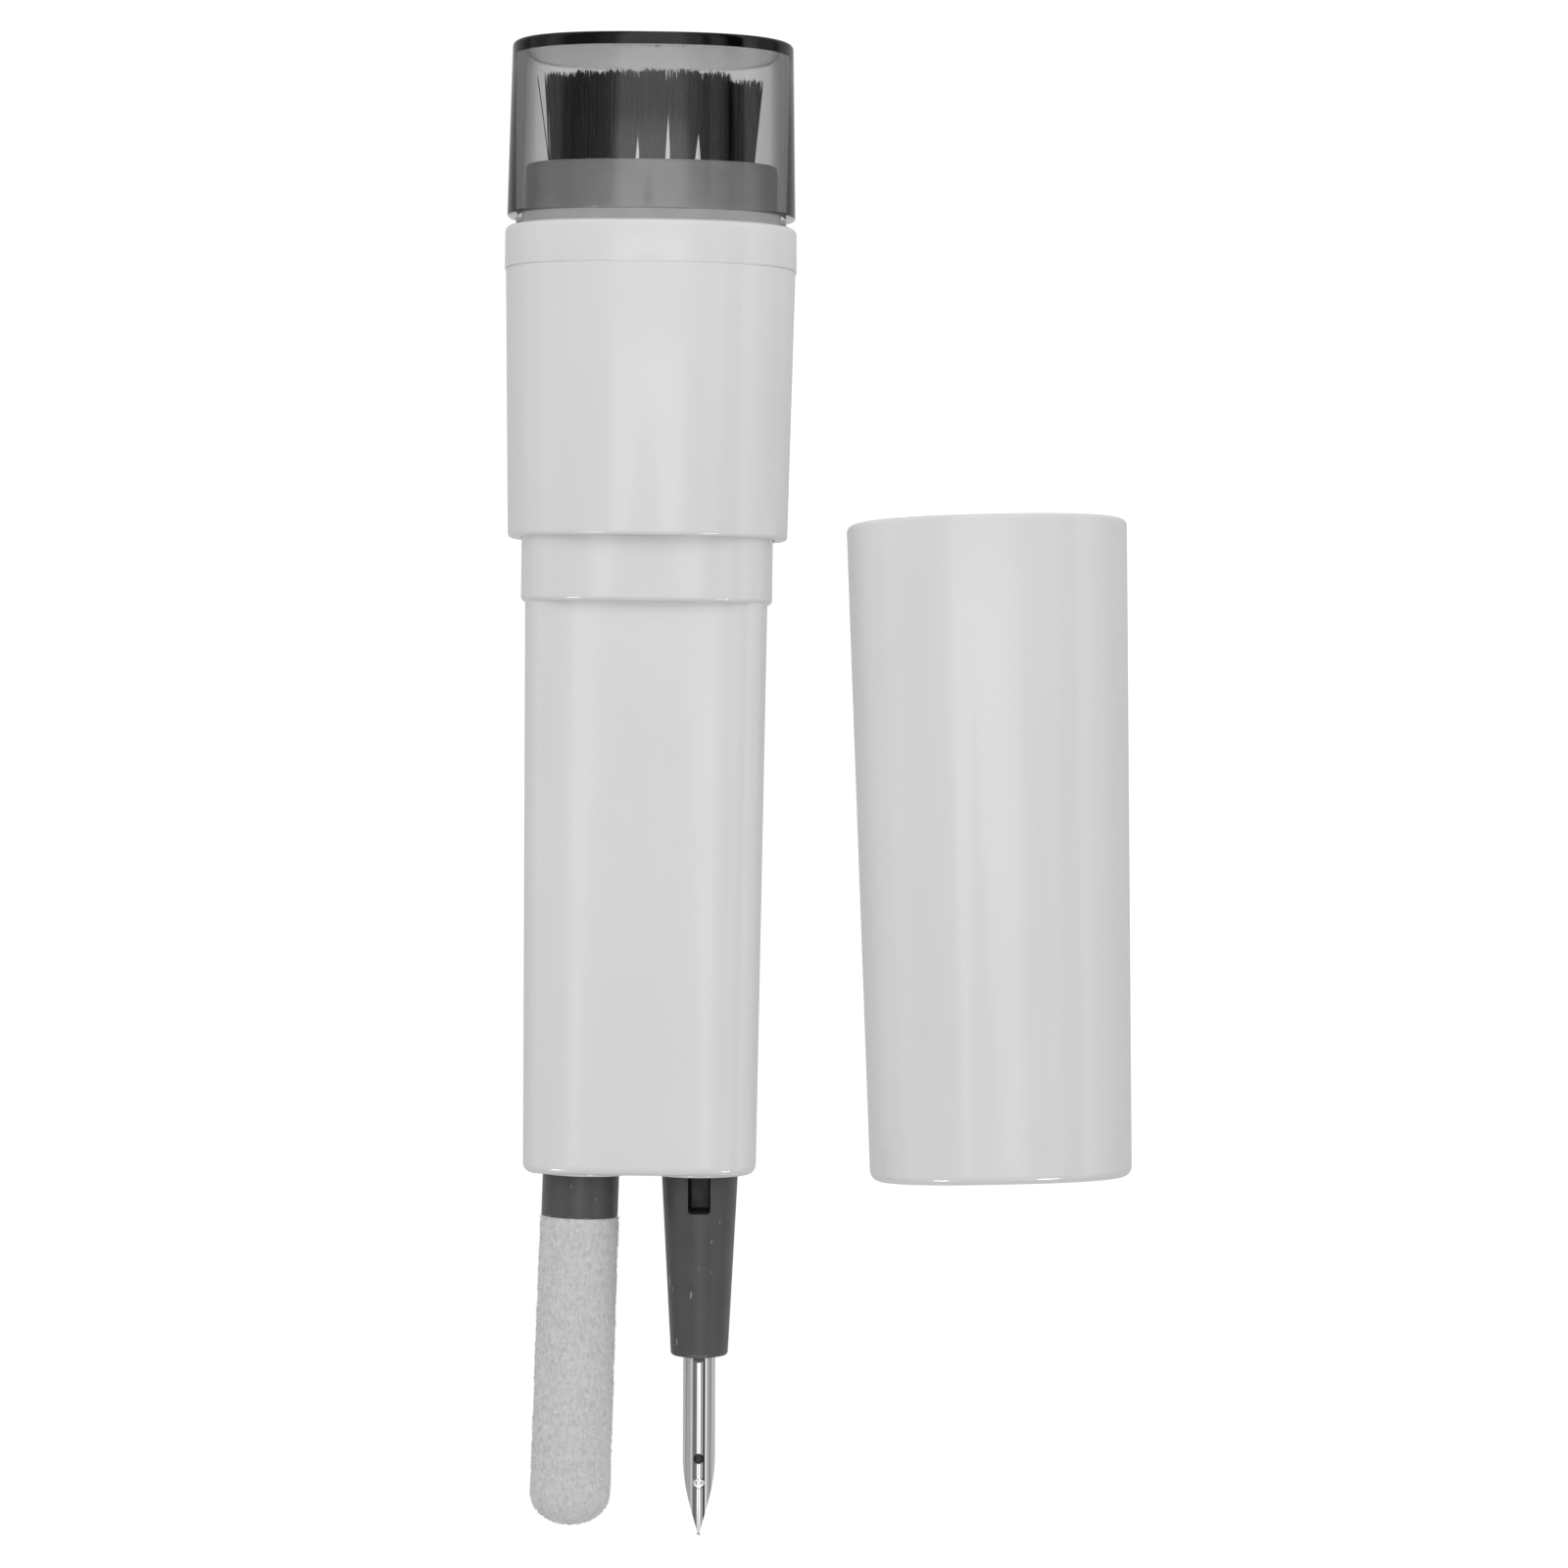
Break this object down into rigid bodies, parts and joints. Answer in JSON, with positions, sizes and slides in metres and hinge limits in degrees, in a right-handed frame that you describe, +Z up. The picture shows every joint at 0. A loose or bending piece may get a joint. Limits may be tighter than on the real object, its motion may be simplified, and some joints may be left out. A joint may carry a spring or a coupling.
{
  "type": "lens cleaning pen",
  "caption": "Flat oval cleaning pen with a capped bristle brush at one end, a flocked sponge and a metal nib at the other, and its loose cap beside it.",
  "frame": {"origin": "on the surface the pen lies on, under the middle of the bounding box of the pen and its cap", "axes": "+Y along the pen towards its brush end, +X from the pen towards the loose main cap, +Z up off the surface"},
  "size_m": [0.0542, 0.1264, 0.015],
  "materials": {
    "white_plastic": "smooth glossy moulded",
    "smoke_clear_plastic": "smoke-tinted clear, polished",
    "light_grey_plastic": "satin moulded",
    "dark_grey_plastic": "satin moulded",
    "black_bristle": "fine nylon filament",
    "grey_flock": "short flocked nap",
    "polished_steel": "mirror polished",
    "black_rubber": "matt"
  },
  "bodies": {
    "pen_body": {"upper_shell": "white_plastic", "collar_ring": "white_plastic", "seat_coupler": "white_plastic", "lower_barrel": "white_plastic", "tool_guide": "light_grey_plastic", "brush_block": "light_grey_plastic", "bristle_tuft_1_1": "black_bristle", "bristle_tuft_1_2": "black_bristle", "bristle_tuft_2_1": "black_bristle", "bristle_tuft_2_2": "black_bristle", "bristle_tuft_2_3": "black_bristle", "bristle_tuft_3_1": "black_bristle", "bristle_tuft_3_2": "black_bristle", "bristle_tuft_3_3": "black_bristle", "bristle_tuft_4_1": "black_bristle", "bristle_tuft_4_2": "black_bristle", "bristle_tuft_4_3": "black_bristle", "bristle_tuft_5_1": "black_bristle", "bristle_tuft_5_2": "black_bristle", "bristle_tuft_5_3": "black_bristle", "bristle_tuft_6_1": "black_bristle", "bristle_tuft_6_2": "black_bristle", "bristle_tuft_6_3": "black_bristle", "bristle_tuft_7_1": "black_bristle", "bristle_tuft_7_2": "black_bristle"},
    "dust_cap": {"brush_dust_cap": "smoke_clear_plastic"},
    "loose_main_cap": {"main_cap": "white_plastic"},
    "sponge_tool": {"sponge_holder": "dark_grey_plastic", "sponge_core": "light_grey_plastic", "sponge_sleeve": "grey_flock", "sponge_grip_ring": "black_rubber"},
    "nib_tool": {"nib_holder": "dark_grey_plastic", "nib_feed": "dark_grey_plastic", "nib_blade": "polished_steel", "nib_grip_ring": "black_rubber"}
  },
  "joints": [
    {"name": "dust_cap_slide", "type": "slide", "parent": "pen_body", "child": "dust_cap", "axis": [0, 1, 0], "range_m": [0, 0.03]},
    {"name": "main_cap_slide", "type": "slide", "parent": "pen_body", "child": "loose_main_cap", "axis": [0.034, -0.9994, 0], "range_m": [0, 0.055]},
    {"name": "sponge_tool_slide", "type": "slide", "parent": "pen_body", "child": "sponge_tool", "axis": [0.0227, 0.9997, 0], "range_m": [0, 0.0302]},
    {"name": "nib_tool_slide", "type": "slide", "parent": "pen_body", "child": "nib_tool", "axis": [-0.0087, 1, 0], "range_m": [0, 0.0308]}
  ]
}
